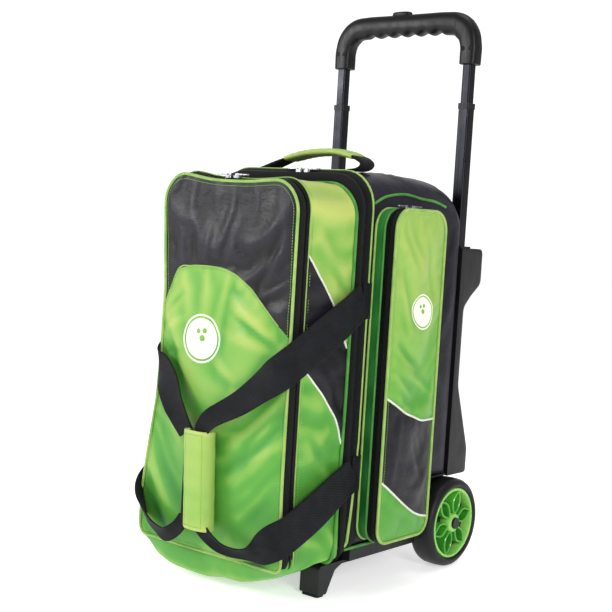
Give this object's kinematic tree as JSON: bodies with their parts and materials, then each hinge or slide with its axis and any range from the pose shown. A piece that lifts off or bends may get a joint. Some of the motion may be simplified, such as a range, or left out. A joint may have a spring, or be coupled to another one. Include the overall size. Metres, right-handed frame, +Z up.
{
  "type": "rolling bowling ball bag",
  "caption": "Upright rolling bowling bag with stacked ball compartment, shoe compartment in its front door, side pocket, carrying loops, telescoping handle and spoked wheels.",
  "frame": {"origin": "on the floor, at the centre of the whole object's box in plan", "axes": "+Z up; -Y is the front of the bag, where the shoe lid is; +X is the side with the accessory pocket"},
  "size_m": [0.322, 0.46, 0.801],
  "materials": {
    "black_nylon": "woven nylon, satin sheen",
    "green_nylon": "woven nylon, satin sheen",
    "zipper_tape": "woven tape with coil",
    "edge_cord": "covered edge cord",
    "webbing": "woven webbing",
    "foam": "foam covered in lining",
    "moulded_black": "fine moulded texture",
    "grip_black": "smooth semi-gloss",
    "tube_black": "black anodised",
    "steel": "plated",
    "wheel_green": "moulded",
    "tyre": "urethane",
    "foot_rubber": "matte"
  },
  "bodies": {
    "root": {"top_panel": "black_nylon", "back_panel": "black_nylon", "bottom_panel": "black_nylon", "right_side_panel": "black_nylon", "left_side_panel": "black_nylon", "main_zipper_tape": "zipper_tape", "ball_cup": "foam", "ball_shelf": "moulded_black", "base_tray": "moulded_black", "wheel_wells": "moulded_black", "front_legs": "moulded_black", "foot_pads": "foot_rubber", "back_shell": "moulded_black", "fixed_tubes": "tube_black", "tube_feet": "moulded_black", "tube_guides": "moulded_black", "axle_bolts": "steel", "pocket_gusset": "green_nylon", "pocket_zipper_tape": "zipper_tape", "top_handle_webbing": "webbing", "top_handle_sleeve": "green_nylon", "strap_tabs": "webbing"},
    "left_wheel": {"left_tyre": "tyre", "left_hub": "wheel_green", "left_bearings": "steel"},
    "right_wheel": {"right_tyre": "tyre", "right_hub": "wheel_green", "right_bearings": "steel"},
    "lower_stage": {"lower_tubes": "tube_black", "lower_tube_caps": "moulded_black"},
    "upper_stage": {"upper_tubes": "tube_black", "grip_front_half": "grip_black", "grip_rear_half": "grip_black", "grip_screws": "steel", "button_springs": "steel"},
    "release": {"release_button": "grip_black", "release_rods": "steel"},
    "front_door": {"door_back_panel": "black_nylon", "door_top_panel": "black_nylon", "door_right_side": "green_nylon", "door_left_side": "green_nylon", "door_bottom_gusset": "green_nylon", "door_zipper_tape": "zipper_tape", "shoe_zipper_tape": "zipper_tape"},
    "front_lid": {"lid_panel": "green_nylon", "lid_zipper_band": "zipper_tape", "lid_piping": "edge_cord"},
    "pocket_flap": {"pocket_flap_band": "zipper_tape", "pocket_flap_panel": "green_nylon", "pocket_flap_piping": "edge_cord"},
    "right_carry_loop": {"right_strap": "webbing", "strap_wrap": "green_nylon"},
    "left_carry_loop": {"left_strap": "webbing"},
    "shoe_zip_slider_left_body": {"shoe_zip_slider_left": "steel"},
    "shoe_zip_slider_right_body": {"shoe_zip_slider_right": "steel"},
    "main_zip_slider_left_body": {"main_zip_slider_left": "steel"},
    "main_zip_slider_right_body": {"main_zip_slider_right": "steel"},
    "pocket_zip_slider_front_body": {"pocket_zip_slider_front": "steel"},
    "pocket_zip_slider_rear_body": {"pocket_zip_slider_rear": "steel"}
  },
  "joints": [
    {"name": "left_wheel_spin", "type": "hinge", "parent": "root", "child": "left_wheel", "pos_m": [-0.139, 0.156, 0.0635], "axis": [1, 0, 0], "continuous": true},
    {"name": "right_wheel_spin", "type": "hinge", "parent": "root", "child": "right_wheel", "pos_m": [0.125, 0.156, 0.0635], "axis": [1, 0, 0], "continuous": true},
    {"name": "handle_lower_slide", "type": "slide", "parent": "root", "child": "lower_stage", "axis": [0, 0, 1], "range_m": [-0.195, 0.08]},
    {"name": "handle_upper_slide", "type": "slide", "parent": "lower_stage", "child": "upper_stage", "axis": [0, 0, 1], "range_m": [-0.054, 0.14]},
    {"name": "release_press", "type": "slide", "parent": "upper_stage", "child": "release", "axis": [0, 0, -1], "range_m": [0, 0.0035], "stiffness_N_per_m": 1500, "springref_m": -0.004, "deforming": ["button_springs"]},
    {"name": "main_door_swing", "type": "hinge", "parent": "root", "child": "front_door", "pos_m": [-0.137, -0.076, 0.3], "axis": [0, 0, 1], "range_deg": [-110, 0]},
    {"name": "shoe_lid_fold", "type": "hinge", "parent": "front_door", "child": "front_lid", "pos_m": [-0.007, -0.192, 0.048], "axis": [1, 0, 0], "range_deg": [0, 90]},
    {"name": "pocket_flap_swing", "type": "hinge", "parent": "root", "child": "pocket_flap", "pos_m": [0.144, 0.06, 0.288], "axis": [0, 0, 1], "range_deg": [0, 85]},
    {"name": "shoe_zip_left_slide", "type": "slide", "parent": "front_door", "child": "shoe_zip_slider_left_body", "axis": [1, 0, 0], "range_m": [-0.055, 0]},
    {"name": "shoe_zip_right_slide", "type": "slide", "parent": "front_door", "child": "shoe_zip_slider_right_body", "axis": [1, 0, 0], "range_m": [0, 0.078]},
    {"name": "main_zip_left_slide", "type": "slide", "parent": "root", "child": "main_zip_slider_left_body", "axis": [1, 0, 0], "range_m": [-0.09, 0]},
    {"name": "main_zip_right_slide", "type": "slide", "parent": "root", "child": "main_zip_slider_right_body", "axis": [1, 0, 0], "range_m": [0, 0.048]},
    {"name": "pocket_zip_front_slide", "type": "slide", "parent": "root", "child": "pocket_zip_slider_front_body", "axis": [0, 1, 0], "range_m": [-0.013, 0]},
    {"name": "pocket_zip_rear_slide", "type": "slide", "parent": "root", "child": "pocket_zip_slider_rear_body", "axis": [0, 1, 0], "range_m": [0, 0.04]},
    {"name": "left_loop_swing", "type": "hinge", "parent": "front_door", "child": "left_carry_loop", "pos_m": [-0.1395, -0.0755, 0.272], "axis": [0, 0, 1], "range_deg": [-90, 0], "deforming": ["left_strap"]},
    {"name": "right_loop_swing", "type": "hinge", "parent": "root", "child": "right_carry_loop", "pos_m": [0.1255, -0.0755, 0.272], "axis": [0, 0, 1], "range_deg": [0, 90], "deforming": ["right_strap", "strap_wrap"]}
  ]
}
